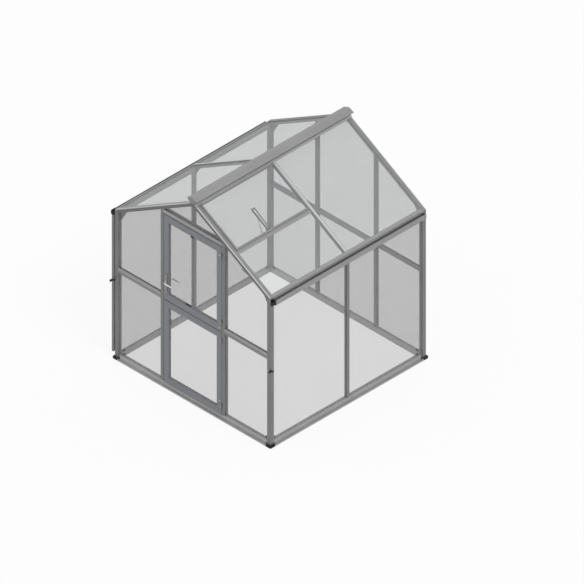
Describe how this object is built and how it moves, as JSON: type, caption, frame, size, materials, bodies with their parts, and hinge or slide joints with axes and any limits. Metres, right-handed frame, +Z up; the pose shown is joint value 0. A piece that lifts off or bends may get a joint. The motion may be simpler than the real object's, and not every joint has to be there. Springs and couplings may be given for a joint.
{
  "type": "glass greenhouse",
  "caption": "Small walk-in greenhouse: aluminium frame with glass panes, pitched roof with gutters and a roof vent, and a two-part hinged door in one gable.",
  "frame": {"origin": "on the ground at the centre of the plan", "axes": "+Z up; the door gable faces -Y; +X to the right of the door gable"},
  "size_m": [2.16, 2.147, 2.38],
  "materials": {
    "frame": "mill aluminium, satin",
    "door_frame": "powder coated, satin",
    "pane": "clear toughened glass",
    "black_plastic": "moulded",
    "bright_metal": "satin"
  },
  "bodies": {
    "house": {"back_glass": "pane", "back_mid_rails": "frame", "back_studs": "frame", "base_corner_feet": "black_plastic", "base_rail_back": "frame", "base_rail_front": "frame", "base_rails_side": "frame", "corner_posts": "frame", "door_header": "frame", "door_hook": "bright_metal", "door_posts": "frame", "downpipes": "frame", "eave_beams": "frame", "eave_gussets": "frame", "front_glass": "pane", "front_mid_rails": "frame", "gable_bars_back": "frame", "gable_bars_front": "frame", "gutter_end_caps": "black_plastic", "gutter_outlets": "black_plastic", "left_roof_glass": "pane", "pipe_clips": "black_plastic", "post_hinges": "bright_metal", "rafters": "frame", "ridge_beam": "frame", "right_roof_glass": "pane", "side_glass": "pane", "side_studs": "frame", "vent_frame": "frame", "vent_glass": "pane", "vent_opener": "bright_metal", "vent_opener_arms": "bright_metal", "vent_sill": "frame"},
    "upper_door": {"upper_door_stiles": "door_frame", "upper_door_rails": "door_frame", "upper_door_glass": "pane", "upper_door_hinges": "bright_metal", "lock_plates": "bright_metal", "upper_door_catch": "black_plastic"},
    "lower_door": {"lower_door_stiles": "door_frame", "lower_door_rails": "door_frame", "lower_door_glass": "pane", "lower_door_hinges": "bright_metal", "lower_door_catch": "black_plastic"},
    "handle": {"door_handle": "bright_metal"}
  },
  "joints": [
    {"name": "upper_door_hinge", "type": "hinge", "parent": "house", "child": "upper_door", "pos_m": [0.3885, -1.0465, 1.5], "axis": [0, 0, 1], "range_deg": [0, 165]},
    {"name": "lower_door_hinge", "type": "hinge", "parent": "house", "child": "lower_door", "pos_m": [0.3885, -1.0465, 0.5], "axis": [0, 0, 1], "range_deg": [0, 165]},
    {"name": "handle_turn", "type": "hinge", "parent": "upper_door", "child": "handle", "pos_m": [-0.352, -1.025, 1.23], "axis": [0, 1, 0], "range_deg": [0, 40], "stiffness_Nm_per_rad": 0.8, "springref_deg": -34.38}
  ]
}
